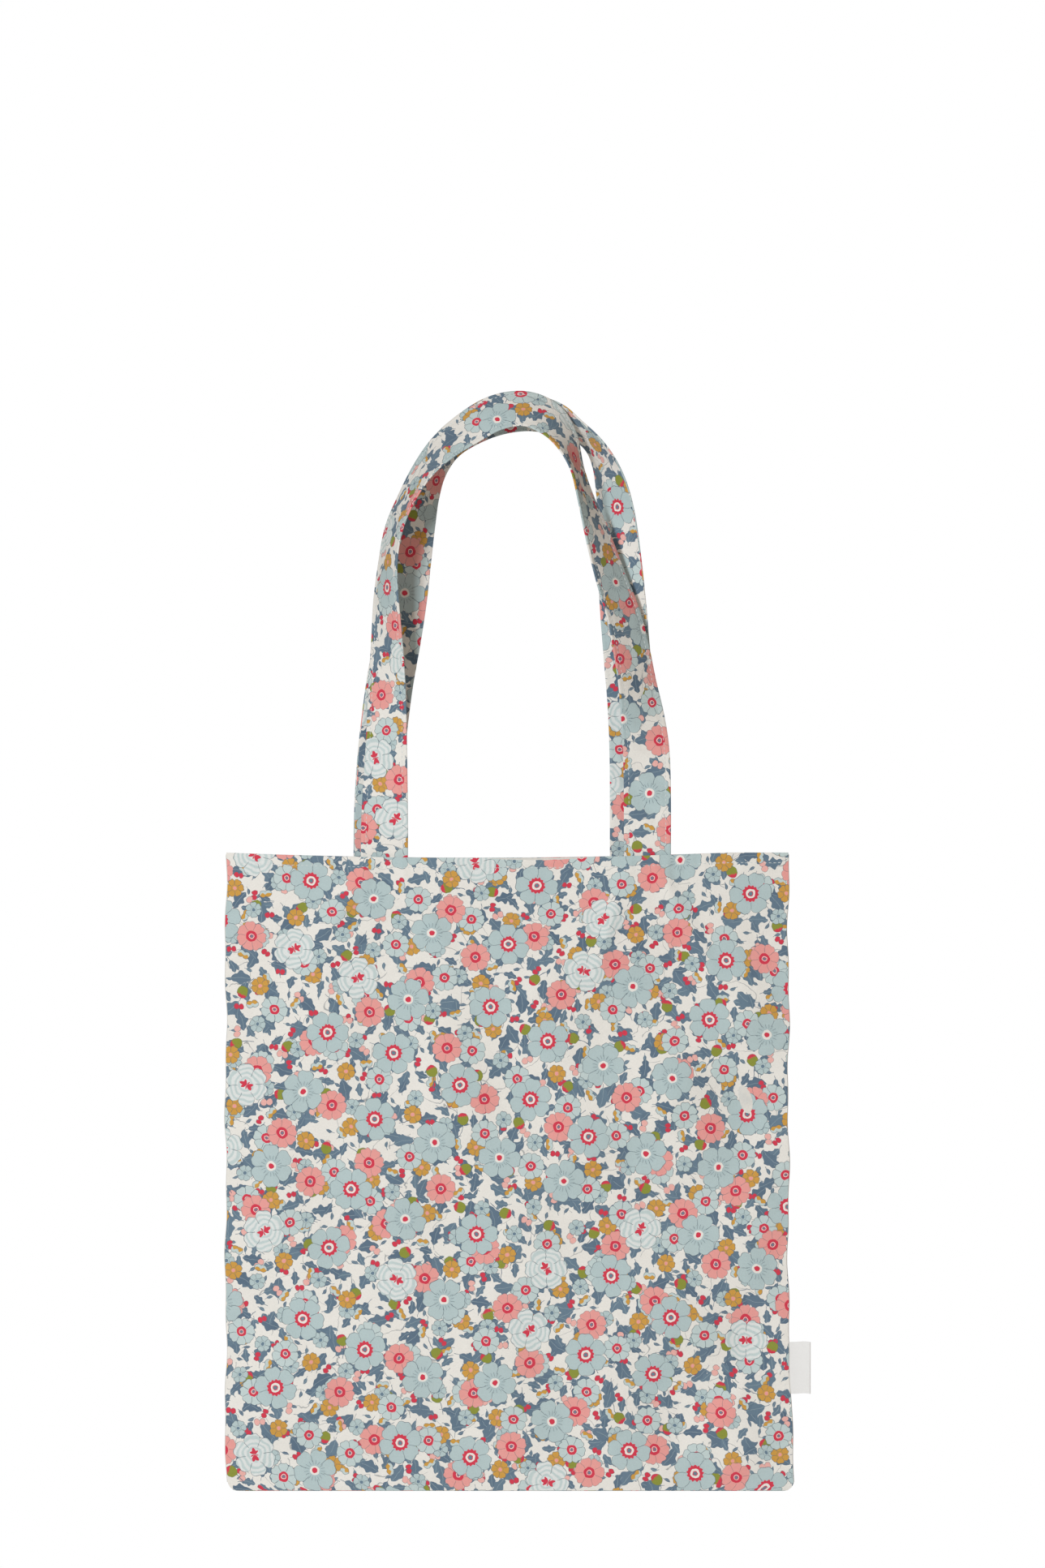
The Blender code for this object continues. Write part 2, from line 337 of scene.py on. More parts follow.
def large_flowers(base, cloth):
    """Pale blue flowers with one of two hearts, and near-white roses with ringed petals."""
    radius = 14.6
    x, y, chance, lot = scattered(cloth, 46.0, 0.35, 0.13, 0.34)
    here = present(chance, 0.93)
    is_rose = sums("GREATER_THAN", lot, 0.66)
    has_eye = sums("LESS_THAN", lot, 0.36)
    bloom = reach_of(x, y * 1.12)
    rings = sums("SINE", bloom * 1.75 + sums("SINE", x * 0.55) * 1.2)
    rose = mixed(sums("MULTIPLY_ADD", rings, 0.9, 0.35, clamp=True), ROSE_WHITE, MIST)
    blue = mixed(sums("MULTIPLY_ADD", bloom, -0.09, 0.75, clamp=True), PALE_BLUE, DEEPER_BLUE)
    colour = mixed(is_rose, blue, rose)
    base, reach, angle = petals(base, here, x, y, radius, 6, 0.34, colour)
    base = eye(base, here * has_eye, reach, angle, radius * 0.22)
    base = daisy_heart(base, here * (1.0 - has_eye) * (1.0 - is_rose), reach, angle, radius * 0.36)
    pair = reach_of(sums("ABSOLUTE", x) - radius * 0.13, y)
    knot = pair + sums("COSINE", angle * 7.0) * (radius * 0.05) - radius * 0.15
    return print_over(base, inside(knot) * here * is_rose, CORAL)


def medium_flowers(base, cloth, place, radius, keep, colour, dark=0.8):
    """Round flowers with a coral heart that holds a pale ring and a dark dot."""
    x, y, chance, _ = scattered(cloth, *place)
    here = present(chance, keep)
    base, reach, _ = petals(base, here, x, y, radius, 7, 0.22, colour, dark)
    base = print_over(base, inside(reach - radius * 0.36) * here, CORAL)
    base = print_over(base, near(reach - radius * 0.15, 0.2) * here, GROUND)
    return print_over(base, inside(reach - radius * 0.09) * here, SLATE)


def small_flowers(base, cloth, place, radius, keep, colour, heart):
    x, y, chance, _ = scattered(cloth, *place)
    here = present(chance, keep)
    base, reach, _ = petals(base, here, x, y, radius, 6, 0.27, colour)
    ring = near(reach - radius * 0.34, 0.12) * here * 0.6
    base = print_over(base, ring, INK)
    return print_over(base, inside(reach - radius * 0.2) * here, heart)


def leaves(base, cloth, place, length, width, keep, lobes):
    """Slate leaves on a short stalk; lobes above 0 give them a toothed outline."""
    x, y, chance, lot = scattered(cloth, *place)
    here = present(chance, keep)
    bent = y + x * x * (0.12 / length)
    stalk = near(bent, 0.17) * near(x + length * 1.15, length * 0.3)
    base = print_over(base, stalk * here * 0.9, DARK_SLATE)
    share = x / length
    swell = sums("COSINE", share * 8.0) * lobes + 1.0
    edge = (1.0 - share * share) * swell * width
    shape = (sums("ABSOLUTE", bent) - edge) * 0.8
    fill = inside(shape) * here * near(share, 1.0, 0.02)
    base = print_over(base, fill, mixed(lot, SLATE, DARK_SLATE))
    return print_over(base, near(bent, 0.09) * fill * 0.5, MIST)


def sweet_peas(base, cloth, place, radius, keep):
    """Two pale blue lobes over two mustard ones."""
    x, y, chance, _ = scattered(cloth, *place)
    here = present(chance, keep)
    lobe = reach_of(sums("ABSOLUTE", x) - radius * 0.62, y) - radius * 0.85
    tint = mixed(sums("GREATER_THAN", y + sums("COSINE", x * 1.6) * 0.5, 0.0), MUSTARD, MIST)
    base = print_over(base, inside(lobe) * here, tint)
    return print_over(base, near(lobe, 0.15) * here * 0.8, INK)


def buds(base, cloth, place, radius, keep):
    """Olive buds on a curved stalk, with a toothed coral tip."""
    x, y, chance, _ = scattered(cloth, *place)
    here = present(chance, keep)
    stalk = near(x - y * y * 0.03, 0.22) * near(y - radius * 1.9, radius * 0.95)
    base = print_over(base, stalk * here, DARK_SLATE)
    shape = reach_of(x * 1.12, y) - radius
    tip = inside(y + radius * 0.3 + sums("PINGPONG", x + 20.0, 0.65) * 1.6)
    base = print_over(base, inside(shape) * here, mixed(tip, OLIVE, CORAL))
    return print_over(base, near(shape, 0.12) * here * 0.6, INK)


def berries(base, cloth, place, radius, keep, colour):
    """Pairs of berries, an outline round each."""
    x, y, chance, _ = scattered(cloth, *place)
    here = present(chance, keep)
    shape = reach_of(sums("ABSOLUTE", x) - radius * 0.95, y * 0.85) - radius
    base = print_over(base, inside(shape) * here, colour)
    return print_over(base, near(shape, 0.12) * here * 0.7, INK)


def tendrils(base, cloth):
    """Thin stems that wander over the ground."""
    field, _ = noise(cloth, 0.045, 0.5)
    other, _ = noise(cloth, 0.06, 0.0)
    line = near((field - 0.5) * 42, 0.14, 0.2)
    return print_over(base, line * sums("GREATER_THAN", other, 0.46) * 0.6, INK)


def floral(cloth):
    """A ditsy floral print from the cloth's flat position in millimetres, small motifs first, so that
    the flowers lie over them. A place is a cell's size, turn, shift and jitter."""
    _, wobble = noise(cloth, 0.35, 1.0)
    drawn = vectors("ADD", cloth, scaled(vectors("SUBTRACT", wobble, (0.5, 0.5, 0.5)), 1.3))
    colour = tendrils(GROUND, drawn)
    colour = leaves(colour, drawn, (9.5, 0.5, 0.31, 0.3), 2.4, 1.05, 0.85, 0.0)
    colour = leaves(colour, drawn, (19.0, 0.2, 0.77, 0.2), 6.6, 3.3, 0.95, 0.28)
    colour = leaves(colour, drawn, (23.0, 1.9, 0.9, 0.24), 7.0, 4.0, 0.9, 0.16)
    colour = leaves(colour, drawn, (14.0, 2.6, 0.15, 0.24), 4.7, 2.3, 0.8, 0.2)
    colour = berries(colour, drawn, (17.0, 0.9, 0.55, 0.3), 1.6, 0.6, CORAL)
    colour = berries(colour, drawn, (24.0, 2.7, 0.05, 0.3), 1.9, 0.6, BLUSH)
    colour = sweet_peas(colour, drawn, (21.0, 2.3, 0.45, 0.3), 2.7, 0.7)
    colour = buds(colour, drawn, (31.0, 1.7, 0.21, 0.3), 4.0, 0.8)
    colour = small_flowers(colour, drawn, (27.0, 0.7, 0.37, 0.32), 5.6, 0.7, PALE_BLUE, SLATE)
    colour = small_flowers(colour, drawn, (35.0, 1.3, 0.83, 0.3), 6.2, 0.7, MUSTARD, SALMON)
    colour = medium_flowers(colour, drawn, (38.0, 2.1, 0.61, 0.34), 9.2, 0.75, MIST)
    colour = medium_flowers(colour, drawn, (42.0, 1.1, 0.07, 0.34), 10.2, 0.62, SALMON, 0.55)
    return large_flowers(colour, drawn)


# ---------------------------------------------------------------- materials


def new_material(name, roughness, sheen=0.0):
    made = bpy.data.materials.new(name)
    made.use_nodes = True
    shader = made.node_tree.nodes["Principled BSDF"]
    shader.inputs["Roughness"].default_value = roughness
    shader.inputs["Specular IOR Level"].default_value = 0.25
    shader.inputs["Sheen Weight"].default_value = sheen
    return made, made.node_tree, shader


def cloth_position(tree):
    """The cloth's flat position in millimetres."""
    uv = tree.nodes.new("ShaderNodeUVMap")
    uv.uv_map = CLOTH_MAP
    return scaled(Value(tree, uv.outputs[0]), MAP_UNIT * 1000)


def weave(cloth, pitch):
    """Height of a plain weave's threads, from 0 to 1."""
    x, y, _ = parts(cloth)
    across = sums("SINE", x * (2 * math.pi / pitch))
    down = sums("SINE", y * (2 * math.pi / pitch))
    return sums("MULTIPLY_ADD", across * down, 0.5, 0.5)


def bumped(tree, shader, height, distance):
    bump = tree.nodes.new("ShaderNodeBump")
    bump.inputs["Distance"].default_value = distance
    plug(tree, bump.inputs["Height"], height)
    tree.links.new(bump.outputs[0], shader.inputs["Normal"])


def finish_cloth(tree, shader, cloth, colour, pitch, distance):
    """Adds the weave, slubs and faint creases that every cotton piece shows; the weave's hollows between
    threads are also painted slightly darker, a painted shade.
    """
    threads = weave(cloth, pitch)
    slub, _ = noise(cloth, 0.9, 3.0)
    crumple, _ = noise(cloth, 0.035, 3.0)
    # the slub term is the yarn's own uneven tone; the threads term paints the weave's hollows a little
    # darker, a painted shade between the threads
    tone = sums("MULTIPLY_ADD", slub, 0.14, 0.90) + threads * 0.05
    shade = tree.nodes.new("ShaderNodeMix")
    shade.data_type = "RGBA"
    shade.blend_type = "MULTIPLY"
    shade.inputs[0].default_value = 1
    plug(tree, shade.inputs[6], colour)
    plug(tree, shade.inputs[7], tone)
    tree.links.new(shade.outputs[2], shader.inputs["Base Color"])
    bumped(tree, shader, threads * 0.25 + slub * 0.6 + crumple * 6.0, distance)


def printed_cotton():
    made, tree, shader = new_material("printed_cotton", 0.86, 0.12)
    cloth = cloth_position(tree)
    finish_cloth(tree, shader, cloth, floral(cloth), 0.62, 0.00035)
    return made


def reverse_cotton():
    """The wrong side of the cloth: cream, with a ghost of the dark motifs showing through."""
    made, tree, shader = new_material("reverse_cotton", 0.9, 0.1)
    cloth = cloth_position(tree)
    ghost, _ = noise(cloth, 0.11, 2.0)
    shown = sums("MULTIPLY_ADD", ghost, 1.4, -0.45, clamp=True)
    colour = mixed(shown, srgb(231, 226, 217), srgb(205, 208, 206))
    finish_cloth(tree, shader, cloth, colour, 0.62, 0.0003)
    return made


def thread_cotton():
    made, tree, shader = new_material("thread_cotton", 0.7, 0.2)
    place = tree.nodes.new("ShaderNodeTexCoord")
    ply, _ = noise(Value(tree, place.outputs["Object"]), 2400.0, 1.0)
    colour = mixed(ply, srgb(196, 204, 204), srgb(226, 229, 226))
    tree.links.new(colour.socket, shader.inputs["Base Color"])
    return made


def label_tape():
    """White woven tape with fine ribs."""
    made, tree, shader = new_material("label_tape", 0.62, 0.15)
    cloth = cloth_position(tree)
    x, y, _ = parts(cloth)
    ribs = sums("SINE", y * (2 * math.pi / 0.5))
    warp = sums("SINE", x * (2 * math.pi / 0.35))
    tone, _ = noise(cloth, 0.7, 2.0)
    ridge = sums("MULTIPLY_ADD", ribs, 0.18, 0.3, clamp=True)
    base = mixed(ridge, srgb(250, 249, 247), srgb(232, 230, 226))
    colour = mixed(tone * 0.25, base, srgb(222, 219, 214))
    tree.links.new(colour.socket, shader.inputs["Base Color"])
    bumped(tree, shader, ribs * 0.5 + warp * 0.2, 0.00008)
    return made


# ---------------------------------------------------------------- cloth meshes


def smooth(t):
    t = np.clip(t, 0, 1)
    return t * t * (3 - 2 * t)


def travelled(points):
    """The distance along a line of points, at each of them."""
    return np.concatenate([[0], np.cumsum(np.linalg.norm(np.diff(points, axis=0), axis=1))])


def mesh_object(name, points, faces, uvs, materials, face_material=None):
    """A mesh object; uvs holds one flat position in metres for each face corner."""
    mesh = bpy.data.meshes.new(name)
    mesh.from_pydata(points.tolist(), [], faces)
    layer = mesh.uv_layers.new(name=CLOTH_MAP)
    layer.data.foreach_set("uv", (np.asarray(uvs, float) / MAP_UNIT).ravel())
    for finish in materials:
        mesh.materials.append(finish)
    if face_material is not None:
        mesh.polygons.foreach_set("material_index", face_material)
    mesh.shade_smooth()
    mesh.set_sharp_from_angle(angle=math.radians(48))
    mesh.update()
    made = bpy.data.objects.new(name, mesh)
    bpy.context.scene.collection.objects.link(made)
    return made


def grid_normals(grid):
    down = np.gradient(grid, axis=0)
    across = np.gradient(grid, axis=1)
    normal = np.cross(across, down)
    return normal / np.linalg.norm(normal, axis=2, keepdims=True)


def cloth_piece(name, grid, flat, thickness, outer, inner):
    """A sheet of cloth with two faces and a closed rim, from a grid of points and their flat positions.
    The grid's normal, across times down, is the outer face."""
    rows, columns = grid.shape[:2]
    normal = grid_normals(grid) * thickness / 2
    points = np.concatenate([(grid + normal).reshape(-1, 3), (grid - normal).reshape(-1, 3)])
    count = rows * columns
    index = np.arange(count).reshape(rows, columns)
    a, b = index[:-1, :-1], index[:-1, 1:]
    c, d = index[1:, 1:], index[1:, :-1]
    outer_faces = np.stack([a, b, c, d], -1).reshape(-1, 4)
    inner_faces = outer_faces[:, ::-1] + count
    ring = np.concatenate([index[0], index[1:, -1], index[-1, -2::-1], index[-2:0:-1, 0]])
    after = np.roll(ring, -1)
    rim = np.stack([after, ring, ring + count, after + count], -1)
    faces = np.concatenate([outer_faces, inner_faces, rim])
    flat_all = np.concatenate([flat.reshape(-1, 2)] * 2)
    kinds = np.concatenate([
        np.zeros(len(outer_faces), np.int32),
        np.ones(len(inner_faces), np.int32),
        np.zeros(len(rim), np.int32),
    ])
    return mesh_object(name, points, faces.tolist(), flat_all[faces], [outer, inner], kinds)


RANDOM = np.random.default_rng(11)
WAVES = [
    (RANDOM.uniform(0, 2 * math.pi), RANDOM.uniform(0.05, 0.17), RANDOM.uniform(0, 2 * math.pi))
    for _ in range(16)
]


def ripples(x, z, side):
    """Slow unevenness of hanging cloth, of about one, different on the front and back."""
    total = 0
    for turn, length, phase in WAVES:
        along = x * math.cos(turn) + z * math.sin(turn)
        total = total + np.sin(2 * math.pi * along / length + phase * (1 + side))
    return total / 4


def crease(x, z, start, end, width):
    """A soft straight fold between two points: 1 on its line, fading over its width and at its ends."""
    (x0, z0), (x1, z1) = start, end
    length = math.hypot(x1 - x0, z1 - z0)
    along = ((x - x0) * (x1 - x0) + (z - z0) * (z1 - z0)) / length ** 2
    off = ((x - x0) * (z1 - z0) - (z - z0) * (x1 - x0)) / length
    return np.exp(-((off / width) ** 2)) * np.clip(1 - (2 * along - 1) ** 2, 0, 1)


def creases(x, z):
    """Pulls that fan out below the strap ends and lie across the lower corners."""
    total = 0.9 * crease(x, z, (0.092, 0.425), (0.140, 0.330), 0.006)
    total += 0.7 * crease(x, z, (0.080, 0.420), (0.055, 0.330), 0.005)
    total += 0.8 * crease(x, z, (-0.080, 0.425), (-0.135, 0.350), 0.006)
    total += 0.6 * crease(x, z, (-0.072, 0.415), (-0.030, 0.340), 0.005)
    total += 1.0 * crease(x, z, (-0.190, 0.150), (-0.080, 0.010), 0.010)
    total += 0.7 * crease(x, z, (0.190, 0.110), (0.100, 0.000), 0.009)
    total += 0.6 * crease(x, z, (-0.120, 0.300), (0.060, 0.200), 0.012)
    return total - 0.5 * crease(x, z, (0.020, 0.180), (0.150, 0.260), 0.011)


def bulge(z):
    rise = np.clip(z / 0.070, 0, 1)
    body = BODY_BULGE * (1 - (1 - rise) ** 2)
    return body + (MOUTH_BULGE - BODY_BULGE) * np.clip((z - 0.28) / (HEIGHT - 0.28), 0, 1)


def half_width(z, sign):
    """Half the bag's width at this height: rounded bottom corners, a seam that isn't quite straight,
    and a right edge that stands a little further out below the label."""
    corner = np.where(z < CORNER, CORNER - np.sqrt(np.clip(CORNER ** 2 - (CORNER - z) ** 2, 0, None)), 0)
    waver = 0.0006 * np.sin(z * 61 + 1.3 * sign) + 0.0004 * np.sin(z * 143 + 2 * sign)
    step = 0.0030 * smooth((LABEL_HIGH.z - 0.012 - z) / 0.030) if sign > 0 else 0
    return HALF - 0.0006 + waver + step - corner


def sag(x, z):
    """How far the cloth hangs below the height it is drawn at: most at the middle of the top edge."""
    drop = 0.0006 + 0.0034 * (1 - np.clip(np.abs(x + 0.02) / (HALF - 0.02), 0, 1) ** 2)
    return drop * smooth((z - SAG_FROM) / (HEIGHT - SAG_FROM))


def skin(s, z, side, inset=0.0, plain=False):
    """A point on the front (side -1) or back (side +1) cloth; s runs from -1 at the left seam to 1.
    The inset is inwards, and plain leaves out the cloth's relief."""
    x = np.where(s < 0, s * half_width(z, -1), s * half_width(z, 1))
    hang = z - sag(x, z)
    out = EDGE + bulge(z) * (1 - s ** 2) - inset
    if not plain:
        from_seam = (1 - np.abs(s)) * HALF
        loose = smooth(from_seam / 0.035) * smooth(z / 0.03)
        firm = 1 - 0.6 * smooth((z - HEM_BOTTOM + 0.010) / 0.010)
        out = out + (0.0022 * ripples(x, z, side) * firm + 0.0028 * creases(side * -x, z)) * loose
        pucker = np.sin(z * 2 * math.pi / 0.0125 + 2.2 * np.sin(z * 37))
        out = out + 0.00035 * pucker * np.exp(-((from_seam - 0.007) / 0.006) ** 2)
        out = out + hem_relief(x, z, side)
    return np.stack([x, side * out, hang], -1)


def strap_centres(side):
    route = FRONT_ROUTE if side < 0 else BACK_ROUTE
    return route[0][0] / 1000, route[-1][0] / 1000


def hem_relief(x, z, side):
    """The hem: thicker over the turned-in cloth and the strap ends, drawn in along its stitching."""
    band = 0.00045 * smooth((z - HEM_BOTTOM + 0.0012) / 0.0024)
    stitched = z - (HEIGHT - STITCH_DROP)
    groove = 0.00050 * np.exp(-((stitched / 0.0011) ** 2))
    gathers = 0.00022 * np.sin(x * 2 * math.pi / 0.0086 + 2 * np.sin(x * 31 * side))
    band = band + gathers * np.exp(-((stitched / 0.0050) ** 2))
    edge = 0.0005 * smooth((z - HEIGHT + 0.0016) / 0.0016)
    strap = 0
    for centre in strap_centres(side):
        beside = STRAP_WIDTH / 2 - np.abs(x - centre)
        strap = strap + 0.00060 * smooth(beside / 0.002 + 0.5) * smooth((z - STRAP_END) / 0.003)
    return band + strap - groove - edge


def spread(low, high, cell=CELL):
    return np.linspace(low, high, max(2, round((high - low) / cell) + 1))


def panel(name, side, s_range, z_range, outer, inner, tuck=0.0):
    """A stretch of the front or back cloth, its top going on inside the cloth above by tuck."""
    s = spread(s_range[0] * HALF, s_range[1] * HALF) / HALF
    z = spread(*z_range)
    top = z[-1]
    if tuck:
        z = np.concatenate([z[:-1], [top - 0.0004], top + spread(0, tuck)])
    s, z = np.meshgrid(s, z)
    away = 0.35 + 0.65 * smooth((1 - np.abs(s)) / 0.10)
    inset = np.where(z >= top, TUCK_DEPTH * away, 0) if tuck else 0
    grid = skin(s, z, side, inset)
    flat = np.stack([s * HALF * -side, z + BACK_PRINT * (side + 1)], -1)
    if side > 0:
        grid = grid[:, ::-1]
        flat = flat[:, ::-1]
    return cloth_piece(name, grid, flat, CLOTH, outer, inner)


def bend_at_fold(piece, line, above, below):
    """Bakes the piece's placement into its mesh; the fold line and the bodies above and below it are not
    used.
    """
    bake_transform(piece)


def bend_at_mouth(piece, sign):
    """Bakes the piece's placement into its mesh; the side it lies on is not used."""
    sign * MOUTH_FROM
    sign * MOUTH_TO
    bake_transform(piece)


def declare_cloth(piece, width, length, *nodes, slot="print", held="hung", rests_on=()):
    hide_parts(*nodes)


def make_panels(outer, inner):
    lower = (0.0006, MIDDLE_SPLIT)
    front_upper = (MIDDLE_SPLIT, HEIGHT)
    back_upper = (MIDDLE_SPLIT, MOUTH_LINE)
    whole = (-1, 1)
    for word, side in (("front", -1), ("back", 1)):
        piece = panel(f"{word}_cloth_lower", side, whole, lower, outer, inner)
        bend_at_fold(piece, LOWER_FOLD, "middle", "lower")
        declare_cloth(piece, 2 * HALF, lower[1] - lower[0], f"{word}_panel_lower", rests_on=STRAPS)
        high = front_upper if side < 0 else back_upper
        tuck = 0 if side < 0 else TUCK
        piece = panel(f"{word}_cloth_upper", side, whole, high, outer, inner, tuck)
        bend_at_fold(piece, UPPER_FOLD, "root", "middle")
        nodes = (f"{word}_panel_middle", f"{word}_panel_upper")
        declare_cloth(piece, 2 * HALF, high[1] + tuck - high[0], *nodes, rests_on=STRAPS)
    for word, sign in (("left", -1), ("right", 1)):
        s_range = (-1, 0) if sign < 0 else (0, 1)
        piece = panel(f"back_mouth_{word}", 1, s_range, (MOUTH_LINE, HEIGHT), outer, inner)
        bend_at_mouth(piece, sign)
        declare_cloth(piece, HALF, HEIGHT - MOUTH_LINE, "back_panel_mouth", rests_on=STRAPS)


def facing(name, side, s_range, outer, inner):
    """The hem's turned-in cloth, printed side to the inside of the bag, joined over the top edge."""
    s = spread(s_range[0] * HALF, s_range[1] * HALF) / HALF
    z = np.concatenate([spread(HEM_BOTTOM, HEIGHT - 0.0008), [HEIGHT - 0.0002]])
    s, z = np.meshgrid(s, z)
    inset = FACING_INSET - 0.0015 * smooth((z - HEIGHT + 0.0035) / 0.0035)
    inset = inset * smooth((1 - np.abs(s)) / 0.10)
    grid = skin(s, z, side, inset, plain=True)
    flat = np.stack([s * HALF * side, FACING_PRINT - z], -1)
    if side < 0:
        grid = grid[:, ::-1]
        flat = flat[:, ::-1]
    return cloth_piece(name, grid, flat, FACING_CLOTH, outer, inner)


def make_facings(outer, inner):
    length = HEIGHT - HEM_BOTTOM
    piece = facing("front_facing", -1, (-FACING_WIDTH, FACING_WIDTH), outer, inner)
    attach(piece, "root")
    declare_cloth(
        piece, 2 * FACING_WIDTH * HALF, length, "front_hem_facing", held="folded",
        rests_on=["front_cloth_upper"],
    )
    for word, sign in (("left", -1), ("right", 1)):
        s_range = (-FACING_WIDTH, 0) if sign < 0 else (0, FACING_WIDTH)
        piece = facing(f"back_facing_{word}", 1, s_range, outer, inner)
        bend_at_mouth(piece, sign)
        declare_cloth(
            piece, FACING_WIDTH * HALF, length, "back_hem_facing", held="folded",
            rests_on=[f"back_mouth_{word}"],
        )


# ---------------------------------------------------------------- straps and seams


def catmull(points, count):
    """Evenly spread rows on the smooth curve through rows of numbers, by the length of their first three."""
    padded = np.vstack([2 * points[0] - points[1], points, 2 * points[-1] - points[-2]])
    fine = []
    t = np.linspace(0, 1, 16, endpoint=False)[:, None]
    for i in range(len(points) - 1):
        p0, p1, p2, p3 = padded[i:i + 4]
        fine.append(0.5 * (
            2 * p1 + (p2 - p0) * t + (2 * p0 - 5 * p1 + 4 * p2 - p3) * t ** 2
            + (3 * p1 - p0 - 3 * p2 + p3) * t ** 3
        ))
    fine = np.vstack([*fine, points[-1:]])
    reached = travelled(fine[:, :3])
    wanted = np.linspace(0, reached[-1], count)
    return np.stack([np.interp(wanted, reached, column) for column in fine.T], -1), reached[-1]


def strap_path(route, side):
    """Stations along a strap with its two ends inside the hem: centres, directions across and outwards,
    and the length."""
    rows = [(x / 1000, side * y / 1000, z / 1000, math.radians(turn)) for x, z, y, turn in route]
    foot = [(rows[i][0], side * STRAP_SEWN_OUT, STRAP_SEWN, 0.0) for i in (0, -1)]
    rows = [foot[0], *rows, foot[1]]
    rows, length = catmull(np.array(rows), STRAP_STATIONS)
    centre, turn = rows[:, :3], rows[:, 3:4]
    ahead = np.gradient(centre, axis=0)
    inward = np.stack([ahead[:, 2], 0 * ahead[:, 0], -ahead[:, 0]], -1)
    inward /= np.linalg.norm(inward, axis=1, keepdims=True)
    face = np.array([0.0, side, 0.0])
    across = inward * np.cos(turn) + face * np.sin(turn)
    outward = face * np.cos(turn) - inward * np.sin(turn)
    return centre, across, outward, length


def strap_relief(u, along, height, side, right):
    """How far the strap's cloth stands off its own middle: slack waves, and slanting pulls low down."""
    wave = 0.00045 * np.sin(along * 41 + 3 * side) * np.cos(u * 130 + along * 9)
    low = smooth((0.520 - height) / 0.05) * smooth((height - 0.424) / 0.02)
    slant = np.where(right, 1.0, -0.6)
    pull = np.sin((height - slant * u * 0.75) * 2 * math.pi / 0.019 + 1.5 * np.sin(height * 90))
    return wave + 0.00085 * low * pull * np.clip(1 - (u / 0.0155) ** 2, 0, 1)


def strap_ribbon(name, route, side, finish):
    """The strap: a flat tube of folded cloth with rolled edges, pressed in along its two stitch lines."""
    centre, across, outward, length = strap_path(route, side)
    half = STRAP_WIDTH / 2
    thick = STRAP_THICK / 2
    flat_u = np.linspace(-half + thick, half - thick, STRAP_FLAT)
    turn = np.linspace(-math.pi / 2, math.pi / 2, 6)[1:-1]
    rolled = half - thick + thick * np.cos(turn)
    u = np.concatenate([flat_u, rolled, flat_u[::-1], -rolled])
    level = np.ones(STRAP_FLAT)
    v = np.concatenate([-level, np.sin(turn), level, -np.sin(turn)]) * thick
    seam = np.exp(-(((np.abs(u) - half + STRAP_SEAM_INSET) / 0.0010) ** 2))
    v = v * (1 - 0.42 * seam + 0.18 * np.clip(1 - (u / half) ** 2, 0, 1))
    along = np.linspace(0, length, len(centre))[:, None]
    lift = strap_relief(u[None], along, centre[:, 2:3], side, centre[:, :1] > 0)
    rings = (centre[:, None] + across[:, None] * u[None, :, None]
             + outward[:, None] * (v[None] + lift)[:, :, None])
    ring = len(u)
    girth = travelled(np.stack([u, v], -1))
    rows = len(centre)
    index = np.arange(rows * ring).reshape(rows, ring)
    a, b = index[:-1], np.roll(index, -1, axis=1)[:-1]
    c, d = np.roll(index, -1, axis=1)[1:], index[1:]
    faces = np.stack([a, b, c, d], -1).reshape(-1, 4)
    flat_u_all = np.tile(girth, (rows, 1))
    flat_v_all = np.repeat(along, ring, axis=1) + STRAP_PRINT + STRAP_PRINT_STEP * side
    flat = np.stack([flat_u_all, flat_v_all], -1).reshape(-1, 2)
    uvs = flat[faces].copy()
    wrapped = (faces % ring == ring - 1).any(axis=1) & (faces % ring == 0).any(axis=1)
    zero = (faces % ring == 0) & wrapped[:, None]
    uvs[..., 0][zero] = girth[-1] + 0.0008
    caps = [index[0][::-1].tolist(), index[-1].tolist()]
    uv_list = np.concatenate([uvs.reshape(-1, 2), flat[index[0][::-1]], flat[index[-1]]])
    if side > 0:
        faces = faces[:, ::-1]
        uv_list[:len(faces) * 4] = uvs[:, ::-1].reshape(-1, 2)
        caps = [cap[::-1] for cap in caps]
    made = mesh_object(name, rings.reshape(-1, 3), faces.tolist() + caps, uv_list, [finish])
    return made, length, (centre, across, outward)


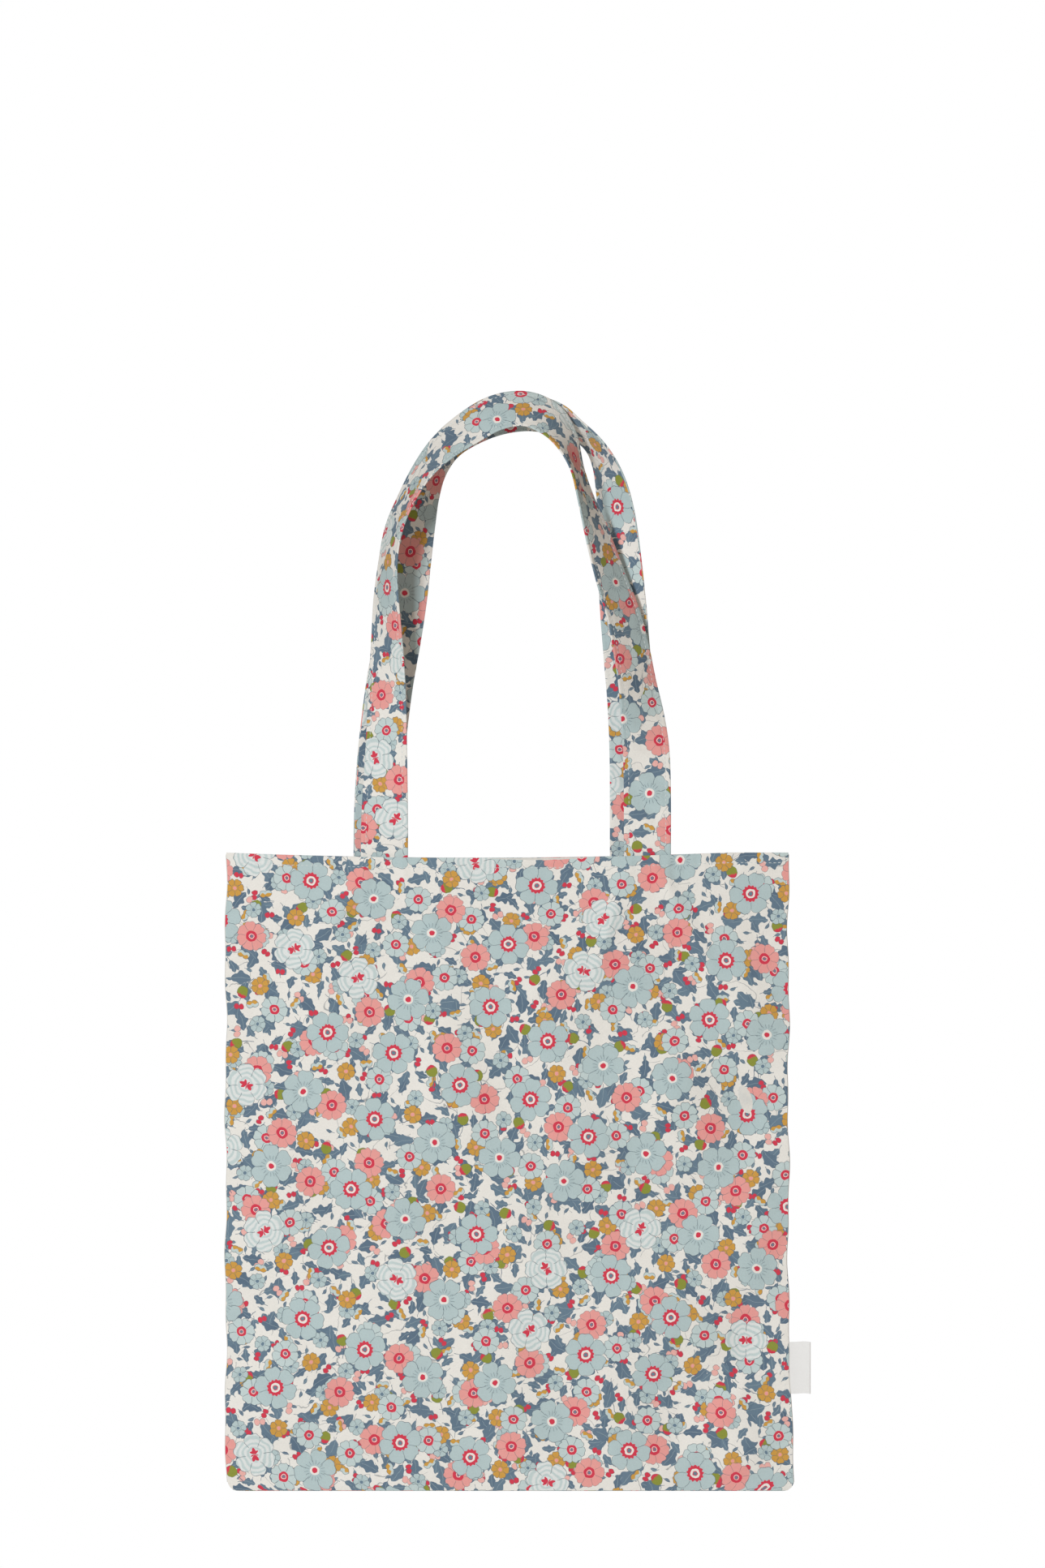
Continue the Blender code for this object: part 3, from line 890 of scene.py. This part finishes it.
def stitch_row(name, points, normals, finish):
    """Separate stitches along a line: short threads that dip into the cloth at both ends."""
    reached = travelled(points)
    starts = np.arange(STITCH_PITCH / 2, reached[-1] - STITCH_LENGTH, STITCH_PITCH)
    place = np.linspace(-0.5, 0.5, STITCH_RINGS)
    sides = np.linspace(0, 2 * math.pi, STITCH_SIDES, endpoint=False)
    all_points = []
    faces = []
    for start in starts:
        at = start + (place + 0.5) * STITCH_LENGTH
        line = np.stack([np.interp(at, reached, column) for column in points.T], -1)
        up = np.stack([np.interp(at, reached, column) for column in normals.T], -1)
        ahead = np.gradient(line, axis=0)
        ahead /= np.linalg.norm(ahead, axis=1, keepdims=True)
        beside = np.cross(ahead, up)
        radius = STITCH_RADIUS * np.sqrt(np.clip(1 - (2 * place) ** 2 * 0.85, 0.05, 1))
        rise = STITCH_RADIUS * (0.5 - 5 * place ** 2)
        ring = (line[:, None] + up[:, None] * rise[:, None, None]
                + (up[:, None] * np.sin(sides)[None, :, None]
                   + beside[:, None] * np.cos(sides)[None, :, None]) * radius[:, None, None])
        base = len(all_points) * STITCH_RINGS * STITCH_SIDES
        all_points.append(ring.reshape(-1, 3))
        for r in range(STITCH_RINGS - 1):
            for k in range(STITCH_SIDES):
                a = base + r * STITCH_SIDES + k
                b = base + r * STITCH_SIDES + (k + 1) % STITCH_SIDES
                faces.append((a, b, b + STITCH_SIDES, a + STITCH_SIDES))
        last = base + (STITCH_RINGS - 1) * STITCH_SIDES
        faces.append(tuple(base + k for k in reversed(range(STITCH_SIDES))))
        faces.append(tuple(last + k for k in range(STITCH_SIDES)))
    points = np.concatenate(all_points)
    corners = sum(len(face) for face in faces)
    made = mesh_object(name, points, faces, np.zeros((corners, 2)), [finish])
    return made


def bend_at_strap(piece):
    """Bakes the piece's placement into its mesh."""
    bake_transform(piece)


def make_straps(finish, thread):
    for word, side, route, parent in (
        ("front", -1, FRONT_ROUTE, "root"), ("back", 1, BACK_ROUTE, "mouth"),
    ):
        piece, length, (centre, across, outward) = strap_ribbon(f"{word}_ribbon", route, side, finish)
        bend_at_strap(piece)
        declare_cloth(
            piece, STRAP_WIDTH, length, f"{word}_strap", f"{word}_strap_end_left",
            f"{word}_strap_end_right",
        )
        shown = centre[:, 2] > STRAP_FOOT - 0.002
        for edge, sign in (("outer", -1), ("inner", 1)):
            u = sign * (STRAP_WIDTH / 2 - STRAP_SEAM_INSET)
            along = np.linspace(0, length, len(centre))
            lift = strap_relief(u, along, centre[:, 2], side, centre[:, 0] > 0)
            line = centre + across * u + outward * (STRAP_THICK / 2 * 0.62 + lift)[:, None]
            row = stitch_row(f"{word}_ribbon_{edge}_stitches", line[shown], outward[shown], thread)
            bend_at_strap(row)
            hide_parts(f"{word}_strap_{edge}_stitching")


def surface_line(s, z, side):
    """Points and outward directions along a line on the cloth."""
    line = skin(s, z, side)
    line[:, 1] += side * CLOTH / 2
    return line, np.tile([0.0, side, 0.0], (len(line), 1))


def make_stitches(thread):
    """The hem's topstitching and the short rows that hold the strap ends."""
    ends = 1 - 0.004 / HALF
    for word, side, parent in (("front", -1, "root"), ("back", 1, "mouth")):
        spans = {"": (-ends, ends)} if side < 0 else {"_left": (-ends, 0), "_right": (0, ends)}
        for hand, (low, high) in spans.items():
            s = np.linspace(low, high, 240)
            line, up = surface_line(s, np.full_like(s, HEIGHT - STITCH_DROP), side)
            row = stitch_row(f"{word}_hem_stitches{hand}", line, up, thread)
            if side < 0:
                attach(row, parent)
            else:
                bend_at_mouth(row, -1 if low < 0 else 1)
            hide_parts(f"{word}_hem_stitching")
        for hand, centre in zip(("left", "right"), strap_centres(side)):
            s = np.linspace(centre - STRAP_WIDTH / 2 + 0.002, centre + STRAP_WIDTH / 2 - 0.002, 30) / HALF
            line, up = surface_line(s, np.full_like(s, HEM_BOTTOM + 0.008), side)
            row = stitch_row(f"{word}_tack_{hand}", line - up * 0.0003, up, thread)
            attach(row, parent)
            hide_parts(f"{word}_strap_tack_{hand}")


def seam_roll(name, path, inward, width, outer, inner):
    """Seam allowances closing the bag's edge: cloth rolled round the edge and turned in."""
    turn = np.linspace(-math.pi / 2, math.pi / 2, 9)
    depth = np.concatenate([[width], [0.003], 0.0008 - 0.0008 * np.cos(turn), [0.003], [width]])
    out = np.concatenate([[-0.0006], [-0.0008], EDGE * np.sin(turn), [0.0008], [0.0006]])
    grid = (path[:, None] + inward[:, None] * depth[None, :, None]
            + np.array([0.0, 1.0, 0.0]) * out[None, :, None])
    reach = travelled(path)
    girth = travelled(np.stack([depth, out], -1))
    flat = np.stack(np.meshgrid(girth, reach), -1)
    return cloth_piece(name, grid, flat, SEAM_CLOTH, outer, inner), reach[-1], girth[-1]


def bottom_path():
    """The bottom edge from one side seam to the other, round both corners, and the way in from it."""
    left, right = (half_width(np.array(0.0), sign) for sign in (-1, 1))
    arc = np.linspace(0, math.pi / 2, ARC_POINTS)
    straight = np.linspace(-left, right, EDGE_POINTS)[1:-1]
    level = np.full_like(straight, 1.5 * math.pi)
    turn = np.concatenate([math.pi + arc, level, 1.5 * math.pi + arc])
    middle = np.concatenate([np.full_like(arc, -left), straight, np.full_like(arc, right)])
    away = np.stack([np.cos(turn), 0 * turn, np.sin(turn)], -1)
    centre = np.stack([middle, 0 * middle, np.full_like(middle, CORNER + 0.0003)], -1)
    return centre + away * CORNER, -away


def make_seams(outer, inner):
    for word, sign in (("left", -1), ("right", 1)):
        spans = (
            ("lower", (CORNER - 0.001, MIDDLE_SPLIT), LOWER_FOLD, ("middle", "lower"), ("lower",)),
            (
                "upper", (MIDDLE_SPLIT, HEIGHT - 0.0012), UPPER_FOLD,
                ("root", "middle"), ("middle", "upper"),
            ),
        )
        for height, z_range, line, bodies, sections in spans:
            z = spread(*z_range, 0.003)
            path = np.stack([sign * half_width(z, sign), 0 * z, z], -1)
            path[:, 2] -= sag(path[:, 0], z)
            path[:, 0] += sign * 0.0003
            if sign > 0:
                path = path[::-1]
            inward = np.tile([-float(sign), 0.0, 0.0], (len(path), 1))
            piece, length, girth = seam_roll(
                f"side_seam_{height}_{word}_cloth", path, inward, SIDE_ALLOWANCE, outer, inner,
            )
            bend_at_fold(piece, line, *bodies)
            nodes = [f"side_seam_{section}_{word}" for section in sections]
            declare_cloth(
                piece, girth, length, *nodes, slot="seam", held="folded",
                rests_on=[f"front_cloth_{height}", f"back_cloth_{height}"],
            )
    path, inward = bottom_path()
    piece, length, girth = seam_roll(
        "bottom_seam_cloth", path, inward, BOTTOM_ALLOWANCE, outer, inner,
    )
    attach(piece, "lower")
    declare_cloth(
        piece, girth, length, "bottom_seam", slot="seam", held="folded",
        rests_on=["front_cloth_lower", "back_cloth_lower"],
    )


def make_label(tape, thread):
    """A folded tape sewn into the right side seam, with its plain face outwards."""
    start = HALF - 0.003
    tip = LABEL_HIGH.x - 0.0009
    run = np.linspace(start, tip, 12)
    turn = np.linspace(-math.pi / 2, math.pi / 2, 9)[1:-1]
    x = np.concatenate([run, tip + 0.0005 * np.cos(turn), run[::-1]])
    y = np.concatenate([np.full(12, -1.0), np.sin(turn), np.full(12, 1.0)])
    z = np.linspace(LABEL_LOW.z, LABEL_HIGH.z, 22)
    x, z = np.meshgrid(x, z)
    y = np.tile(y, (len(z), 1))
    free = np.clip((x - HALF - 0.002) / 0.012, 0, 1)
    gape = 0.0003 + 0.00045 * free
    curl = -0.0012 * free ** 2 + 0.0005 * free * np.sin(z * 120)
    grid = np.stack([x, y * gape + curl, z + 0.0006 * free * np.sin(x * 300)], -1)
    girth = travelled(grid[0])
    flat = np.stack(np.meshgrid(girth, z[:, 0]), -1)
    piece = cloth_piece("label_cloth", grid, flat, TAPE, tape, tape)
    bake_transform(piece)
    declare_cloth(
        piece, girth[-1], LABEL_HIGH.z - LABEL_LOW.z, "side_label", slot="label", held="folded",
        rests_on=["side_seam_lower_right_cloth"],
    )
    z = np.linspace(LABEL_LOW.z, LABEL_HIGH.z, 20)
    line, up = surface_line(np.full_like(z, 1 - 0.003 / HALF), z, -1)
    row = stitch_row("label_stitches", line - up * 0.0002, up, thread)
    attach(row, "lower")
    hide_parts("side_label_stitching")


# ---------------------------------------------------------------- studio


def area_light(name, place, aim, size, power, colour):
    light = bpy.data.lights.new(name, "AREA")
    light.size = size
    light.energy = power
    light.color = colour
    made = bpy.data.objects.new(name, light)
    made.location = place
    made.rotation_euler = (Vector(aim) - Vector(place)).to_track_quat("-Z", "Y").to_euler()
    bpy.context.scene.collection.objects.link(made)


def make_studio():
    scene = bpy.context.scene
    scene.view_settings.view_transform = "Standard"
    world = bpy.data.worlds.new("studio")
    scene.world = world
    world.use_nodes = True
    tree = world.node_tree
    soft = tree.nodes["Background"]
    soft.inputs["Color"].default_value = (1.0, 0.89, 0.78, 1)
    soft.inputs["Strength"].default_value = 0.31
    white = tree.nodes.new("ShaderNodeBackground")
    white.inputs["Color"].default_value = (1, 1, 1, 1)
    rays = tree.nodes.new("ShaderNodeLightPath")
    either = tree.nodes.new("ShaderNodeMixShader")
    tree.links.new(rays.outputs["Is Camera Ray"], either.inputs[0])
    tree.links.new(soft.outputs[0], either.inputs[1])
    tree.links.new(white.outputs[0], either.inputs[2])
    tree.links.new(either.outputs[0], tree.nodes["World Output"].inputs[0])
    middle = (0, 0, 0.4)
    area_light("key", (-1.3, -3.3, 1.1), middle, 0.7, 91, (0.90, 0.95, 1.0))
    area_light("fill", (2.2, -2.6, 0.9), middle, 2.0, 4, (1.0, 0.95, 0.9))
    area_light("back", (1.4, 2.8, 1.4), middle, 1.2, 46, (0.92, 0.96, 1.0))
    bpy.ops.mesh.primitive_circle_add(vertices=96, radius=1.0, fill_type="NGON", location=(0, 0, -0.30))
    floor = bpy.context.object
    floor.name = "floor"
    made, _, shader = new_material("floor_paint", 0.85)
    shader.inputs["Base Color"].default_value = (0.80, 0.80, 0.79, 1)
    floor.data.materials.append(made)


def make_camera():
    """Level with the bag and square to it, from far off, as the frame's height is about 1.03 m."""
    distance = 5.0
    frame_height = 1.030
    camera = bpy.data.cameras.new("camera")
    camera.sensor_fit = "VERTICAL"
    camera.sensor_height = 24
    camera.lens = 24 * distance / frame_height
    made = bpy.data.objects.new("camera", camera)
    made.location = (0.0101, -distance, 0.4645)
    made.rotation_euler = (math.pi / 2, 0, 0)
    bpy.context.scene.collection.objects.link(made)
    bpy.context.scene.camera = made


printed = printed_cotton()
reverse = reverse_cotton()
thread = thread_cotton()
make_camera()
make_panels(printed, reverse)
make_facings(printed, reverse)
make_seams(printed, reverse)
make_straps(printed, thread)
make_stitches(thread)
make_label(label_tape(), thread)
make_studio()

bpy.context.view_layer.update()
